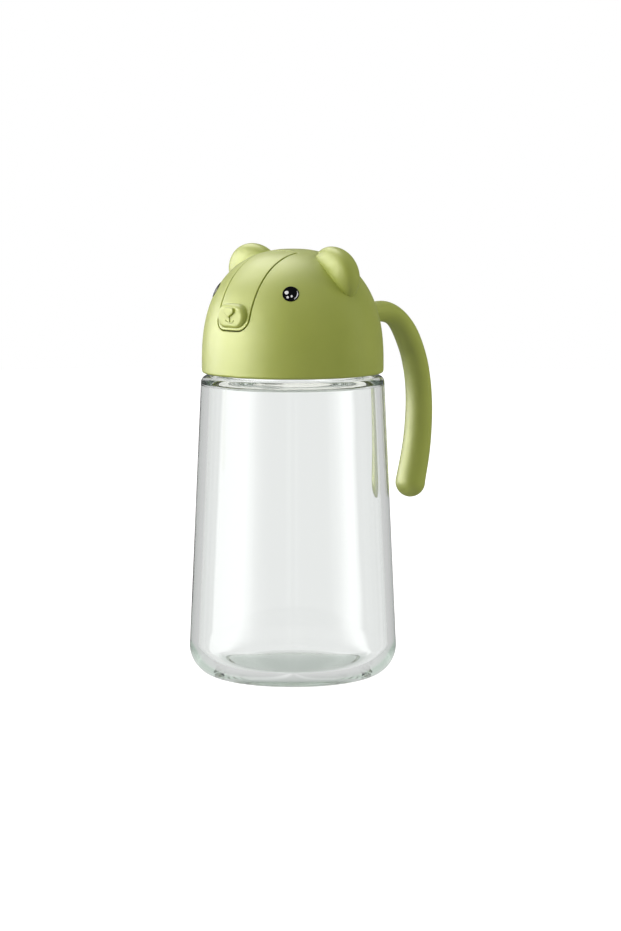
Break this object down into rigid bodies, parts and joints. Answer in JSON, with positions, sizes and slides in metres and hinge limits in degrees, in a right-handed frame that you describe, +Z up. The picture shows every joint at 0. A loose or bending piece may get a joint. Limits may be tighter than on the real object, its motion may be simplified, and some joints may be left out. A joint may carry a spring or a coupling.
{
  "type": "oil dispenser bottle",
  "caption": "Clear glass oil bottle with a round screw-on bear-face head, a rear handle and a hinged gravity flap over the pouring spout.",
  "frame": {"origin": "centre of the glass base, on the surface that the bottle stands on", "axes": "+Z up, nose and spout towards -Y, handle towards +Y, left and right mirror across X = 0"},
  "size_m": [0.09, 0.1328, 0.1872],
  "materials": {
    "clear_glass": "clear, smooth",
    "green_plastic": "fine matte moulded",
    "white_plastic": "satin moulded",
    "silicone": "translucent matte",
    "eye_black": "gloss with white printed highlights",
    "stainless": "turned"
  },
  "bodies": {
    "bottle": {"glass_bottle": "clear_glass"},
    "gasket": {"neck_gasket": "silicone"},
    "head": {"head_shell": "green_plastic", "inner_cap": "white_plastic", "spout": "white_plastic", "spout_seal": "silicone", "handle": "green_plastic", "handle_end_plug": "green_plastic", "handle_screw": "stainless", "eye_left": "eye_black", "eye_right": "eye_black", "hinge_pin": "stainless"},
    "flap": {"flap_lid": "green_plastic", "flap_liner": "white_plastic", "pour_stopper": "silicone", "nose_weight": "stainless"}
  },
  "joints": [
    {"name": "head_lift", "type": "slide", "parent": "bottle", "child": "gasket", "axis": [0, 0, 1], "range_m": [0, 0.0054]},
    {"name": "head_turn", "type": "hinge", "parent": "gasket", "child": "head", "pos_m": [0, 0, 0.14], "axis": [0, 0, 1], "range_deg": [0, 432]},
    {"name": "flap_hinge", "type": "hinge", "parent": "head", "child": "flap", "pos_m": [0, -0.0113, 0.18026], "axis": [-1, 0, 0], "range_deg": [0, 70]}
  ],
  "couplings": [
    {"joint": "head_lift", "follows": "head_turn", "m_per_rad": 0.0007162}
  ]
}
